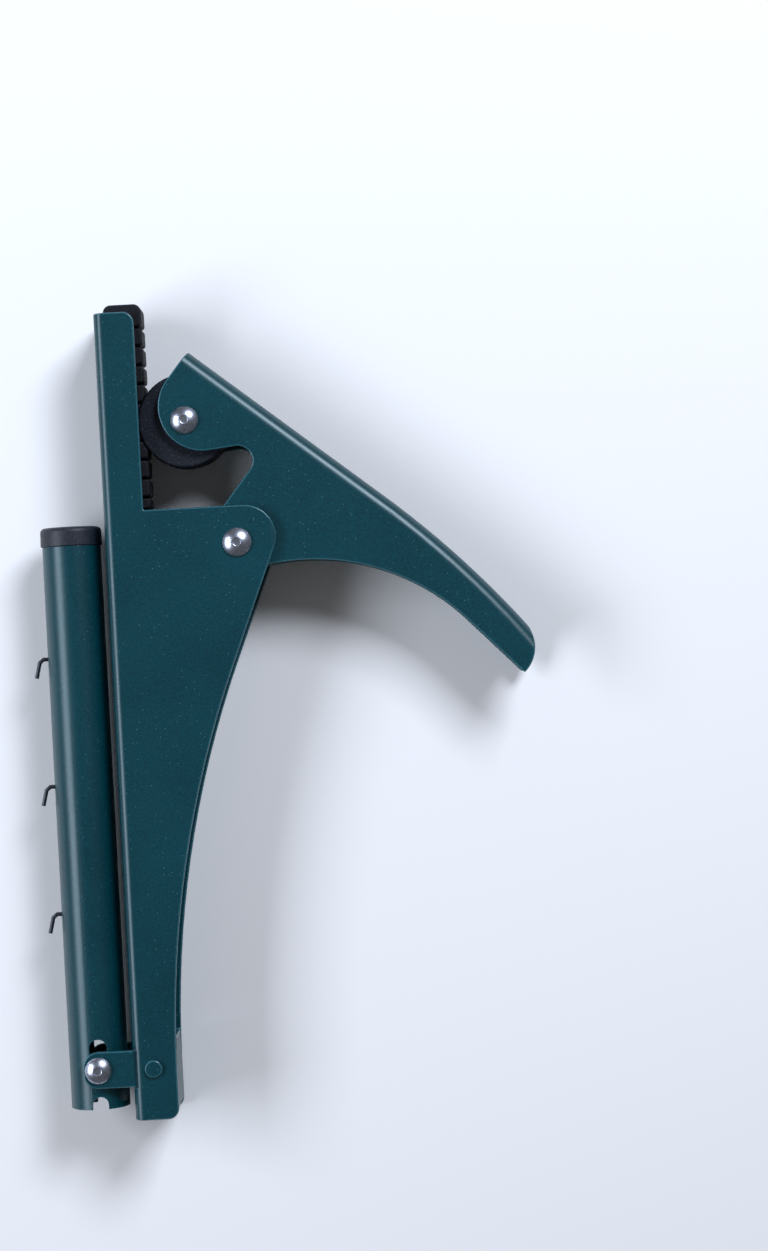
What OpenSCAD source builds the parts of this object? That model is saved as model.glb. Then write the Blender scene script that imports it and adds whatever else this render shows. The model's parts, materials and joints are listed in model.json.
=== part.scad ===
// Spring clamp with a folding post that carries one end of a table tennis net.
// It lies flat: X runs across the body, Y along it towards the jaw, and Z up through its width.

/* [Clamp body] */
// Length of the upper jaw above the table stop
jaw_len = 51.8; // [48:0.2:56]
// Depth of the upper jaw, from the outside of the web to its open edge
jaw_d = 10.5; // [9.6:0.1:11]
// Length of the body below the table stop
tail_len = 158.6; // [156:0.2:170]
// Depth of the tail, from the outside of the web to its open edge
tail_d = 11.5; // [11.4:0.1:13]
// Thickness of the body's steel sheet
sheet = 1.5; // [1.2:0.1:1.6]
// Outer radius of the body's two folds
fold_r = 2.5; // [2:0.1:3]
// Radius of the rounded nose of the arm
arm_nose_r = 8.2; // [7.8:0.1:9]
// Reach of the arm, from the outside of the web to its nose
arm_reach = 44.6; // [44:0.1:46.5]
// Radius of the long hollow edge between the tail and the arm
sweep_r = 280; // [260:5:290]
// Length of the lip that closes the channel at its lower end
lip_len = 18; // [12:0.5:22]

/* [Squeeze lever] */
// Distance of the lever's pivot from the outside of the web
pivot_x = 34.4; // [34:0.1:35.4]
// Distance of the lever's pivot below the table stop
pivot_drop = 9.6; // [9.4:0.1:10.4]
// Outside width of the lever
lever_w = 17.5; // [17.1:0.1:17.6]
// Thickness of the lever's steel sheet
lever_sheet = 1.2; // [1:0.1:1.3]
// Outer radius of the lever's two folds
lever_fold_r = 3.6; // [3:0.1:4]
// Slope of the lever's back when it is closed
lever_slope = 39.2; // [38.8:0.1:39.4]
// Distance from the pivot to the lever's back
back_off = 32.5; // [31.5:0.1:33.5]
// Radius of the long curve of the handle's back
handle_r = 250; // [220:5:300]
// Length of the curved handle, up to the middle of its round tip
handle_len = 50; // [46:0.5:56]
// Radius of the rounded head of the lever
head_r = 11.6; // [11:0.1:12]
// Width of the round-ended throat in the lever
throat_w = 7.8; // [7:0.1:8.4]

/* [Pressure wheel and jaw pad] */
// Diameter of the rubber pressure wheel
wheel_d = 24.6; // [23.6:0.1:24.8]
// Width of the pressure wheel
wheel_w = 12.6; // [11.6:0.1:13]
// Depth from the outside of the web to the face of the jaw pad
pad_face = 12.2; // [11.9:0.1:12.3]
// Width of the pad's raised blocks
pad_w = 12.2; // [10:0.1:14]
// Pitch of the pad's blocks
pad_pitch = 4.95; // [4.6:0.05:5.2]
// Distance that the pad runs past the end of the jaw
pad_over = 2.4; // [1.6:0.1:3]

/* [Net post] */
// Outside diameter of the post's tube
tube_d = 15.4; // [15:0.1:15.5]
// Wall of the post's tube
tube_wall = 1.2; // [1:0.1:1.4]
// Length of the post's tube
tube_len = 147.6; // [144:0.2:156]
// Distance of the post's rivet outside the web
post_off = 9.1; // [9:0.1:9.6]
// Distance of the tube's middle from the line of its slot and notch
slot_shift = 0.6; // [0.4:0.1:0.7]
// Height of the post's rivet above the body's lower end
post_up = 13.4; // [13:0.1:14]
// Distance from the post's rivet to the lock pin
lock_reach = 14.6; // [14.6:0.1:14.9]
// Length by which the lifted post drops to seat on the lock pin
seat_travel = 5.5; // [5:0.1:5.6]
// Length by which the post lifts further than it has to before it can swing
lift_spare = 1.6; // [0.4:0.1:2]
// Diameter of the post's cap
cap_d = 16.2; // [15.8:0.1:17]
// Height of the cap above the tube
cap_h = 5; // [4:0.1:6]
// Depth of the cord groove across the cap
groove_depth = 2.4; // [1.6:0.1:3]

/* [Net hooks] */
// Distance of the first hook from the lower end of the tube
hook_first = 51; // [47:0.5:54]
// Distance from one hook to the next
hook_pitch = 33.6; // [32:0.2:35]
// Thickness of the hook wire
hook_wire = 1.1; // [0.9:0.1:1.3]
// Length of each hook's arm
hook_arm = 4.2; // [3.6:0.1:5]

/* [Rivets] */
// Diameter of the lever pivot's shank
pivot_d = 6; // [5.6:0.1:6.2]
// Diameter of the wheel rivet's shank
axle_d = 5; // [4.6:0.1:5.2]
// Diameter of the post rivet's shank
post_pin_d = 4.5; // [4.2:0.1:4.8]
// Diameter of the lock pin's shank
lock_d = 3.6; // [3.3:0.1:3.6]

/* [Hidden] */
$fn = 96;

// Running clearance on a radius, and a small gap between parts that only sit side by side
run = 0.05;
gap = 0.1;
// How far a cutting shape runs past what it cuts
over = 1;

// Half widths through the stack, counted from the middle plane
tube_r = tube_d / 2;
plate_t = 1.5;
plate_in = tube_r + 0.2;
plate_out = plate_in + plate_t;
body_in = plate_out;
body_out = body_in + sheet;
lever_out = lever_w / 2;
lever_in = lever_out - lever_sheet;

// Domed heads: radius and height of each
pivot_head = [3.75, 2];
axle_head = [3.6, 2];
post_head = [3.43, 1.9];
lock_head = [3.9, 2];
lock_peen = [2.3, 1];
head_rim = 0.5;
centre_mark_r = 0.9;
centre_mark_depth = 0.2;

// Places in the plane of the body, from the web's outside and the table stop
pivot = [pivot_x, -pivot_drop];
post_pin = [-post_off, post_up - tail_len];
lock_pin_at = [post_pin[0] + lock_reach, post_pin[1]];
nose_at = [arm_reach - arm_nose_r, -arm_nose_r];
sweep_up = 12.6;
sweep_at = [tail_d + sweep_r, sweep_up - tail_len];
// Direction square to the straight edge that touches both the nose and the hollow edge
nose_to_sweep = sweep_at - nose_at;
edge_angle = atan2(nose_to_sweep[1], nose_to_sweep[0])
    + acos((arm_nose_r + sweep_r) / norm(nose_to_sweep));
edge_out = [cos(edge_angle), sin(edge_angle)];
tail_round = 2.8;
jaw_round = 2.9;
stop_h = 20;

// Lever shape, along and away from its back, from the pivot
head_at = [-28.35, 23.2];
wheel_at = [-30, 17.6];
throat_at = [-12.5, 17.2];
boss_r = -throat_at[0] - throat_w / 2;
boss_drop = boss_r - 1;
belly_at = [53.5, -38.5];
belly_r = 58.2;
grip_at = [60.6, 19.27];
grip_slope = 7;
curve_at = 23.4;
tip_r = 9.5;
leg_depth = 60;
past_tip = 5;
curve_mid = [curve_at, back_off - handle_r];
tip_turn = handle_len / handle_r * 180 / PI;
tip_mid = curve_mid + (handle_r - tip_r) * [sin(tip_turn), cos(tip_turn)];
wheel_pos = from_lever(wheel_at);

// Post: distance from the rivet to the tube's lower end while it is lifted
lift_end = 10.5;
seat_end = lift_end + seat_travel;
notch_r = lock_d / 2 + 0.25;
notch_depth = seat_end - lock_reach + lock_d / 2 + 0.1;
slot_r = post_pin_d / 2 + run;
tube_foot = post_pin[1] - lift_end;
tube_top = tube_foot + tube_len;
tube_x = post_pin[0] - slot_shift;
bracket_half = 4.8;
bracket_end = 3.9;
window_low = 9.6;
window_high = tube_r;
window_half = tube_r + 0.3;
window_round = 1;

// Hooks
hook_stub = 2.3;
hook_bend_r = 1.1;
hook_flare = 14;
bend_steps = 6;
hook_sides = 12;

// Bush and washers
bush_r = axle_d / 2 + 1.5;
wheel_washer_r = 6;
pivot_washer_r = 7;

// Spring round the pivot
wire_r = 0.9;
coil_r = 6.2;
coil_turns = 5;
coil_pitch = 2.3;
leg_in_angle = -39.8;
leg_out_angle = -74.5;
leg_in_len = (pivot_x + coil_r * cos(leg_in_angle) - sheet - wire_r - gap) / -sin(leg_in_angle);
leg_out_len = 41;
wire_sides = 8;
turn_steps = 20;

// Reach of a hook from the tube, and the middle of the handle's round tip
hook_reach = hook_stub - hook_bend_r + (hook_bend_r + hook_wire / 2) * cos(hook_flare)
    + hook_arm * sin(hook_flare);
tip_at = from_lever(tip_mid);

// Where the middle of the whole part lies, so that it sits at the origin
mid_x = (tip_at[0] + tip_r + tube_x - tube_r - hook_reach) / 2;
mid_y = (jaw_len + pad_over - tail_len) / 2;
base_z = body_out + max(head_top(pivot_head), head_top(lock_head));

// Radius of a domed head's ball, and the head's height to the edge of its centre mark
function ball_r(size) = (pow(size[0], 2) + pow(size[1] - head_rim, 2)) / (2 * (size[1] - head_rim));
function head_top(size) = size[1] - ball_r(size) + sqrt(pow(ball_r(size), 2) - pow(centre_mark_r, 2));

// A point given along and away from the lever's back, in the plane of the body
function from_lever(p) = [
    pivot_x + p[0] * cos(lever_slope) + p[1] * sin(lever_slope),
    -pivot_drop - p[0] * sin(lever_slope) + p[1] * cos(lever_slope)];

module place() {
    translate([-mid_x, -mid_y, base_z])
        children();
}

// A flat shape in the plane of the body, given an even thickness about the middle plane
module slab(half) {
    translate([0, 0, -half])
        linear_extrude(2 * half)
            children();
}

// A pair of equal slabs on both sides of the middle plane, from one half width to another
module slab_pair(near, far) {
    for (side = [-1, 1])
        translate([0, 0, side > 0 ? near : -far])
            linear_extrude(far - near)
                children();
}

module disc_at(p, r) {
    translate(p)
        circle(r);
}

// A rectangle between two corners with all four corners rounded
module soft_rect(low, high, r) {
    for (x = [low[0] + r, high[0] - r])
        for (y = [low[1] + r, high[1] - r])
            disc_at([x, y], r);
    translate([low[0] + r, low[1]])
        square([high[0] - low[0] - 2 * r, high[1] - low[1]]);
    translate([low[0], low[1] + r])
        square([high[0] - low[0], high[1] - low[1] - 2 * r]);
}

// Cross-section of a folded sheet: its closed side faces left, its two walls run to the right
module fold_section(half, t, r, depth) {
    difference() {
        soft_rect([0, -half], [depth, half], r);
        soft_rect([t, t - half], [depth + 2 * r, half - t], r - t);
    }
}

// A rivet head with a short rim and a domed top, standing on the plane z = 0
module dome_head(size) {
    difference() {
        intersection() {
            cylinder(r = size[0], h = size[1]);
            translate([0, 0, size[1] - ball_r(size)])
                sphere(ball_r(size));
        }
        translate([0, 0, size[1] - centre_mark_depth])
            cylinder(r = centre_mark_r, h = over);
    }
}

// A rivet through two walls: a shank, and a domed head on each side
module rivet(at, shank_r, half, head) {
    translate([at[0], at[1], 0]) {
        translate([0, 0, -half])
            cylinder(r = shank_r, h = 2 * half);
        translate([0, 0, half])
            dome_head(head);
        mirror([0, 0, 1])
            translate([0, 0, half])
                dome_head(head);
    }
}

module ring(r_in, r_out, height) {
    difference() {
        cylinder(r = r_out, h = height);
        translate([0, 0, -over])
            cylinder(r = r_in, h = height + 2 * over);
    }
}

// Outline of the body's side walls
module body_outline() {
    soft_rect([0, -tail_len], [tail_d, -tail_len / 2], tail_round);
    soft_rect([0, -tail_len / 2], [jaw_d, jaw_len], jaw_round);
    translate([0, -tail_len])
        square([fold_r, tail_len + jaw_len]);
    // the arm, its straight top edge and its round nose
    translate([0, -stop_h])
        square([nose_at[0], stop_h]);
    disc_at(nose_at, arm_nose_r);
    // the web of sheet under the arm, with its long hollow edge
    difference() {
        polygon([[0, -tail_len + tail_round], [0, nose_at[1]], nose_at, nose_at + arm_nose_r * edge_out,
            sweep_at - sweep_r * edge_out, [tail_d, sweep_at[1]], [tail_d, -tail_len + tail_round]]);
        disc_at(sweep_at, sweep_r);
    }
}

module body_channel() {
    fold_nick = 1;
    color("#1c4a54")
    place()
    difference() {
        union() {
            intersection() {
                slab(body_out)
                    body_outline();
                translate([0, jaw_len + over, 0])
                    rotate([90, 0, 0])
                        linear_extrude(jaw_len + tail_len + 2 * over)
                            fold_section(body_out, sheet, fold_r, arm_reach + over);
            }
            // the lip that closes the channel over the lock pin
            translate([tail_d - sheet, tail_round - tail_len, -body_in])
                cube([sheet, lip_len, 2 * body_in]);
        }
        // the window in the web that the foot of the post swings through
        rotate([90, 0, 90])
            translate([0, 0, -over])
                linear_extrude(sheet + over)
                    soft_rect([post_pin[1] - window_low, -window_half],
                        [post_pin[1] + window_high, window_half], window_round);
        // the slots for the two bracket plates, which also nick the folds
        translate([-over, post_pin[1] - bracket_half - gap, -body_out - over])
            cube([over + fold_nick, 2 * (bracket_half + gap), 2 * (body_out + over)]);
        translate([-over, post_pin[1] - bracket_half - gap, -body_in])
            cube([over + fold_r, 2 * (bracket_half + gap), 2 * body_in]);
        // holes for the pivot rivet and the lock pin
        translate([pivot[0], pivot[1], -body_out - over])
            cylinder(d = pivot_d, h = 2 * (body_out + over));
        translate([lock_pin_at[0], lock_pin_at[1], -body_out - over])
            cylinder(d = lock_d, h = 2 * (body_out + over));
    }
}

// Outline of a slit between two of the pad's blocks, which opens between their round corners
module slit_outline(depth, width, corner) {
    half = width / 2;
    translate([0, -half])
        square([depth + over, width]);
    difference() {
        translate([depth - corner, -half - corner])
            square([corner + over, width + 2 * corner]);
        for (side = [-1, 1])
            disc_at([depth - corner, side * (half + corner)], corner);
    }
}

module jaw_pad() {
    bed_low = 0.6;
    bed_round = fold_r - sheet;
    bed_half = body_in - gap;
    block_h = 2.7;
    bed_face = pad_face - block_h;
    tread_back = sheet + 0.8;
    tread_round = 2;
    first_slit = bed_low + 2.9;
    slit_w = 0.45;
    slit_corner = 0.8;
    color("#23262b")
    place()
    difference() {
        union() {
            // the bed that fills the channel
            translate([0, jaw_len, 0])
                rotate([90, 0, 0])
                    linear_extrude(jaw_len - bed_low)
                        soft_rect([sheet + gap / 2, -bed_half], [bed_face, bed_half], bed_round);
            // the raised tread, which also covers the end of the jaw
            slab(pad_w / 2)
                soft_rect([tread_back, bed_low], [pad_face, jaw_len + pad_over], tread_round);
        }
        // the slits between the blocks
        for (y = [first_slit : pad_pitch : jaw_len - tread_round])
            slab(body_out)
                translate([bed_face, y])
                    slit_outline(block_h, slit_w, slit_corner);
        // the dent that the closed wheel presses in the pad
        translate([wheel_pos[0], wheel_pos[1], -body_out])
            cylinder(d = wheel_d + 2 * gap, h = 2 * body_out);
    }
}

// Outline of the lever's side walls, along and away from its back
module lever_outline() {
    top = back_off + over;
    // the straight line that touches both the head's and the throat's round
    neck = throat_at - head_at;
    neck_lean = atan2(neck[1], neck[0]) - acos((head_r + throat_w / 2) / norm(neck));
    neck_side = [cos(neck_lean), sin(neck_lean)];
    grip_end = tip_mid[0] + 2 * tip_r;
    difference() {
        union() {
            disc_at(head_at, head_r);
            translate([head_at[0] - head_r, head_at[1]])
                square([2 * head_r, top - head_at[1]]);
            polygon([head_at, head_at + head_r * neck_side, throat_at - throat_w / 2 * neck_side,
                throat_at, [throat_at[0] + throat_w, throat_at[1]], [throat_at[0] + throat_w, top],
                [head_at[0], top]]);
        }
        disc_at(throat_at, throat_w / 2);
    }
    disc_at([0, 0], boss_r);
    intersection() {
        difference() {
            polygon([[-boss_r, 0], [-boss_r, top], [grip_end, top],
                [grip_end, grip_at[1] - (grip_end - grip_at[0]) * tan(grip_slope)],
                grip_at, [belly_at[0], -boss_drop], [0, -boss_drop]]);
            disc_at(belly_at, belly_r);
        }
        tip_outline();
    }
}

// The side walls' far end: everything short of the tip, and the tip's round corner
module tip_outline() {
    translate(tip_mid)
        rotate(-tip_turn) {
            circle(tip_r);
            translate([-2 * handle_len, -leg_depth])
                square([2 * handle_len, 2 * leg_depth]);
            translate([-over, -leg_depth])
                square([over + tip_r, leg_depth]);
        }
}

// One stretch of the lever's folded section, cut to the outline of its side walls
module trimmed() {
    intersection() {
        children();
        slab(lever_w)
            lever_outline();
    }
}

// The lever's sheet: its straight back, and its handle, which curves down from where the back ends
module lever_shell() {
    trimmed()
        translate([head_at[0] - head_r, 0, 0])
            rotate([90, 0, 90])
                linear_extrude(curve_at - head_at[0] + head_r)
                    lever_section();
    trimmed()
        translate([curve_mid[0], curve_mid[1], 0])
            rotate(90)
                mirror([0, 1, 0])
                    rotate_extrude(angle = tip_turn + past_tip)
                        translate([-curve_mid[1], 0])
                            lever_section();
}

module lever_section() {
    translate([back_off, 0])
        rotate(180)
            fold_section(lever_out, lever_sheet, lever_fold_r, leg_depth);
}

module lever() {
    color("#1c4a54")
    place()
    difference() {
        translate([pivot[0], pivot[1], 0])
            rotate(-lever_slope)
                lever_shell();
        translate([pivot[0], pivot[1], -lever_w])
            cylinder(r = pivot_d / 2 + run, h = 2 * lever_w);
        translate([wheel_pos[0], wheel_pos[1], -lever_w])
            cylinder(d = axle_d, h = 2 * lever_w);
    }
}

module pressure_wheel() {
    edge_r = 0.9;
    color("#202226")
    place()
    translate([wheel_pos[0], wheel_pos[1], 0])
        rotate_extrude()
            difference() {
                soft_rect([0, -wheel_w / 2], [wheel_d / 2, wheel_w / 2], edge_r);
                translate([-over, -wheel_w])
                    square([over + bush_r + run, 2 * wheel_w]);
            }
}

module wheel_bush() {
    color("#b9bec2")
    place()
    translate([wheel_pos[0], wheel_pos[1], -wheel_w / 2])
        ring(axle_d / 2 + run, bush_r, wheel_w);
}

module wheel_washers() {
    washer_t = lever_in - wheel_w / 2 - gap;
    color("#2b2d30")
    place()
    translate([wheel_pos[0], wheel_pos[1], 0])
        for (z = [wheel_w / 2 + gap, -lever_in])
            translate([0, 0, z])
                ring(axle_d / 2, wheel_washer_r, washer_t);
}

module wheel_rivet() {
    color("#c9ccd0")
    place()
    rivet(wheel_pos, axle_d / 2, lever_out, axle_head);
}

module pivot_rivet() {
    color("#c9ccd0")
    place()
    rivet(pivot, pivot_d / 2, body_out, pivot_head);
}

module pivot_sleeve() {
    sleeve_half = lever_in - gap;
    sleeve_r = coil_r - wire_r - 0.6;
    color("#9aa0a5")
    place()
    translate([pivot[0], pivot[1], -sleeve_half])
        ring(pivot_d / 2, sleeve_r, 2 * sleeve_half);
}

module pivot_washers() {
    washer_t = body_in - lever_out - gap;
    color("#2b2d30")
    place()
    translate([pivot[0], pivot[1], 0])
        for (z = [lever_out + gap, -body_in])
            translate([0, 0, z])
                ring(pivot_d / 2, pivot_washer_r, washer_t);
}

// Points along the middle of the spring's wire: one leg, the coil, the other leg
coil_sweep = 360 * coil_turns + leg_out_angle - leg_in_angle;
coil_steps = round(coil_sweep / 360 * turn_steps);
coil_half = coil_sweep / 360 * coil_pitch / 2;
function coil_point(a, z) = [coil_r * cos(a), coil_r * sin(a), z];
function coil_heading(a) = [-sin(a), cos(a), 0];
spring_path = concat(
    [coil_point(leg_in_angle, -coil_half) - leg_in_len * coil_heading(leg_in_angle)],
    [for (i = [0 : coil_steps])
        coil_point(leg_in_angle + coil_sweep * i / coil_steps, coil_half * (2 * i / coil_steps - 1))],
    [coil_point(leg_out_angle, coil_half) + leg_out_len * coil_heading(leg_out_angle)]);

// Least gap between two turns of the wire, from the points of its path at least half a turn apart
function turn_gap(path) = min([for (i = [0 : len(path) - 1])
    for (j = [i + turn_steps / 2 : len(path) - 1])
        norm(path[i] - path[j])]) - 2 * wire_r;
echo(spring_gap = turn_gap(spring_path));

// A round wire swept along a path that stays close to the plane of the body
module wire(path, r, sides) {
    last = len(path) - 1;
    rings = [for (i = [0 : last])
        let (d = path[min(i + 1, last)] - path[max(i - 1, 0)],
            across = [d[1], -d[0], 0] / norm([d[0], d[1]]))
        [for (k = [0 : sides - 1])
            path[i] + r * (cos(360 * k / sides) * across + sin(360 * k / sides) * [0, 0, 1])]];
    points = [for (loop = rings) each loop];
    walls = [for (i = [0 : last - 1])
        for (k = [0 : sides - 1])
            let (a = i * sides + k, b = i * sides + (k + 1) % sides)
            [a, a + sides, b + sides, b]];
    ends = [[for (k = [0 : sides - 1]) k], [for (k = [sides - 1 : -1 : 0]) last * sides + k]];
    polyhedron(points, concat(walls, ends));
}

module torsion_spring() {
    color("#8d9398")
    place()
    translate([pivot[0], pivot[1], 0])
        wire(spring_path, wire_r, wire_sides);
}

// One side plate of the post's bracket, standing on its inner face
module bracket_plate() {
    linear_extrude(plate_t)
        difference() {
            soft_rect(post_pin - [bracket_end, bracket_half], lock_pin_at + [bracket_end, bracket_half],
                bracket_end);
            disc_at(post_pin, post_pin_d / 2 + run);
            disc_at(lock_pin_at, lock_d / 2);
        }
}

module front_bracket_plate() {
    color("#1c4a54")
    place()
    translate([0, 0, plate_in])
        bracket_plate();
}

module rear_bracket_plate() {
    color("#1c4a54")
    place()
    translate([0, 0, -plate_out])
        bracket_plate();
}

module lock_pin() {
    color("#1c4a54")
    place()
    translate([lock_pin_at[0], lock_pin_at[1], 0]) {
        translate([0, 0, -body_out])
            cylinder(d = lock_d, h = 2 * body_out);
        // the flat peened end in front and the domed head behind
        translate([0, 0, body_out])
            cylinder(r = lock_peen[0], h = lock_peen[1]);
        mirror([0, 0, 1])
            translate([0, 0, body_out])
                dome_head(lock_head);
    }
}

module post_rivet() {
    color("#c9ccd0")
    place()
    rivet(post_pin, post_pin_d / 2, plate_out, post_head);
}

module post_tube() {
    color("#1c4a54")
    place()
    difference() {
        translate([tube_x, tube_foot, 0])
            rotate([-90, 0, 0])
                ring(tube_r - tube_wall, tube_r, tube_len);
        // the slot that the tube slides on and the notch that fits over the lock pin
        slab(tube_d) {
            disc_at(post_pin - [0, lift_spare], slot_r);
            disc_at(post_pin + [0, seat_travel], slot_r);
            translate(post_pin - [slot_r, lift_spare])
                square([2 * slot_r, lift_spare + seat_travel]);
            disc_at([post_pin[0], tube_foot + notch_depth - notch_r], notch_r);
            translate([post_pin[0] - notch_r, tube_foot - over])
                square([2 * notch_r, notch_depth - notch_r + over]);
        }
        // the three holes that the hooks are set in
        for (i = [0 : 2])
            translate([tube_x - tube_d, hook_y(i), 0])
                rotate([0, 90, 0])
                    cylinder(d = hook_wire, h = tube_d);
    }
}

module post_cap() {
    edge_r = 2;
    plug_len = 8;
    groove_r = 1.6;
    color("#26282c")
    place()
    difference() {
        translate([tube_x, tube_top, 0])
            rotate([-90, 0, 0])
                rotate_extrude()
                    intersection() {
                        union() {
                            soft_rect([-cap_d / 2, -2 * edge_r], [cap_d / 2, cap_h], edge_r);
                            translate([0, -plug_len])
                                square([tube_r - tube_wall, plug_len + over]);
                        }
                        union() {
                            square([cap_d, cap_h]);
                            translate([0, -plug_len])
                                square([tube_r - tube_wall, plug_len + over]);
                        }
                    }
        // the groove that the net's cord lies in
        translate([tube_x - cap_d, tube_top + cap_h - groove_depth, 0])
            rotate([0, 90, 0])
                cylinder(r = groove_r, h = 2 * cap_d);
        translate([tube_x - cap_d, tube_top + cap_h - groove_depth, -groove_r])
            cube([2 * cap_d, cap_h, 2 * groove_r]);
    }
}

function hook_y(i) = tube_foot + hook_first + i * hook_pitch;

// One net hook: a short stub out of the tube, a bend, and an arm that leans out towards the tube's foot
module net_hook(i) {
    root = [tube_x - tube_r + tube_wall + over, hook_y(i), 0];
    bend_mid = [tube_x - tube_r - hook_stub + hook_bend_r, hook_y(i) - hook_bend_r, 0];
    arm_from = bend_mid + hook_bend_r * [-cos(hook_flare), sin(hook_flare), 0];
    bend = [for (k = [0 : bend_steps])
        let (a = 90 + (90 - hook_flare) * k / bend_steps)
        bend_mid + hook_bend_r * [cos(a), sin(a), 0]];
    color("#54585c")
    place()
    wire(concat([root], bend, [arm_from - hook_arm * [sin(hook_flare), cos(hook_flare), 0]]),
        hook_wire / 2, hook_sides);
}

module net_hook_1() { net_hook(0); }
module net_hook_2() { net_hook(1); }
module net_hook_3() { net_hook(2); }

body_channel();
jaw_pad();
lever();
pressure_wheel();
wheel_bush();
wheel_washers();
wheel_rivet();
pivot_rivet();
pivot_sleeve();
pivot_washers();
torsion_spring();
front_bracket_plate();
rear_bracket_plate();
lock_pin();
post_rivet();
post_tube();
post_cap();
net_hook_1();
net_hook_2();
net_hook_3();
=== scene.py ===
import json
import math

import bmesh
import bpy
from mathutils import Matrix, Vector
from mathutils.bvhtree import BVHTree


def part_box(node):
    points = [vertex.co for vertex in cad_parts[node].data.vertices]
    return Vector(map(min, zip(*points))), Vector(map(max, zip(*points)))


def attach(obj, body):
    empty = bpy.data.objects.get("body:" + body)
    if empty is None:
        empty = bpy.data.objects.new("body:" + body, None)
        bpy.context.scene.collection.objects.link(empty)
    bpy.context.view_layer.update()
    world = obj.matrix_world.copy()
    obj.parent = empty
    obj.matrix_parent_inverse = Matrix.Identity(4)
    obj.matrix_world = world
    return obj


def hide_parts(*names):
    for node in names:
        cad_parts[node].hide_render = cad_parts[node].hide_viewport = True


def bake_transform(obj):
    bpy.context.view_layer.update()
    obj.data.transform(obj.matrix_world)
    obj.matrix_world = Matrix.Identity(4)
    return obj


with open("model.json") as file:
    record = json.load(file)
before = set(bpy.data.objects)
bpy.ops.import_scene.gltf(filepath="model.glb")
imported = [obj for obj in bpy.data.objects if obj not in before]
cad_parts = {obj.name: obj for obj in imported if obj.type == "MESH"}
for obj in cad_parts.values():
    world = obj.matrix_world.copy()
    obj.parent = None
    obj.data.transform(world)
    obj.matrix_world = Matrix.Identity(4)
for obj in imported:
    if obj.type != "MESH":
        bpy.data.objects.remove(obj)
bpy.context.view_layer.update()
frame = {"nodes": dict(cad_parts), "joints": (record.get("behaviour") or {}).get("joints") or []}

MM = 0.001


# ---- Floor, studio light and camera ----
# A plain pale floor under two soft boxes: a wide one on the left, and a smaller, stronger one
# beyond the clamp's upper right. The camera looks straight down on the clamp, which lies on its side.

def linear(colour):
    """An sRGB hex colour as the linear values that a shader takes."""
    parts = [int(colour[i:i + 2], 16) / 255 for i in (1, 3, 5)]
    return [c / 12.92 if c <= 0.04045 else ((c + 0.055) / 1.055) ** 2.4 for c in parts] + [1.0]


def add_node(tree, kind, settings=None, inputs=None):
    """Adds a node with its settings, and sets or links its inputs."""
    node = tree.nodes.new(kind)
    for key, value in (settings or {}).items():
        setattr(node, key, value)
    for key, value in (inputs or {}).items():
        if isinstance(value, bpy.types.NodeSocket):
            tree.links.new(value, node.inputs[key])
        else:
            node.inputs[key].default_value = value
    return node


def new_material(name):
    """An empty material and its tree, with a principled shader on its output."""
    material = bpy.data.materials.new(name)
    material.use_nodes = True
    tree = material.node_tree
    tree.nodes.clear()
    shader = add_node(tree, "ShaderNodeBsdfPrincipled")
    add_node(tree, "ShaderNodeOutputMaterial", inputs={"Surface": shader.outputs[0]})
    return material, tree, shader


def added(name, data):
    """A new object in the scene from a mesh, lamp or camera."""
    thing = bpy.data.objects.new(name, data)
    bpy.context.collection.objects.link(thing)
    return thing


FLOOR_HALF = 1400 * MM
floor_mesh = bpy.data.meshes.new("floor")
floor_mesh.from_pydata(
    [(-FLOOR_HALF, -FLOOR_HALF, 0), (FLOOR_HALF, -FLOOR_HALF, 0),
     (FLOOR_HALF, FLOOR_HALF, 0), (-FLOOR_HALF, FLOOR_HALF, 0)], [], [(0, 1, 2, 3)])
floor = added("floor", floor_mesh)
# matt white paper: takes soft shadows and mirrors nothing
floor_paper, tree, shader = new_material("pale_paper")
shader.inputs["Base Color"].default_value = linear("#FFFFFF")
shader.inputs["Roughness"].default_value = 0.9
floor_mesh.materials.append(floor_paper)

# the body's front face, which the boxes and the camera aim at
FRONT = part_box("body_channel")[1][2]


def soft_box(name, turn, lean, distance, width, height, power):
    """A soft box aimed at the clamp, at a turn about the vertical and a lean off it, in degrees."""
    turn, lean = math.radians(turn), math.radians(lean)
    lamp = bpy.data.lights.new(name, "AREA")
    lamp.shape = "RECTANGLE"
    lamp.size = width
    lamp.size_y = height
    lamp.energy = power
    lamp.color = linear("#EAF1FF")[:3]
    way = Vector((math.sin(lean) * math.cos(turn), math.sin(lean) * math.sin(turn), math.cos(lean)))
    holder = added(name, lamp)
    holder.location = way * distance + Vector((0, 0, FRONT))
    holder.rotation_euler = way.to_track_quat("Z", "Y").to_euler()


soft_box("left_box", turn=176, lean=54, distance=1.1, width=0.9, height=0.4, power=8.8)
soft_box("right_box", turn=56, lean=47, distance=1.1, width=0.4, height=0.36, power=9.5)

# the room is darker to the clamp than it looks behind the floor's far edge
world = bpy.data.worlds.new("studio")
bpy.context.scene.world = world
world.use_nodes = True
tree = world.node_tree
tree.nodes.clear()
path = add_node(tree, "ShaderNodeLightPath")
glow = add_node(tree, "ShaderNodeMix", {"data_type": "FLOAT"},
                {"Factor": path.outputs["Is Camera Ray"], "A": 0.12, "B": 0.93})
sky = add_node(tree, "ShaderNodeBackground", inputs={
    "Color": linear("#FBFBFD"), "Strength": glow.outputs[0]})
add_node(tree, "ShaderNodeOutputWorld", inputs={"Surface": sky.outputs[0]})

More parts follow.
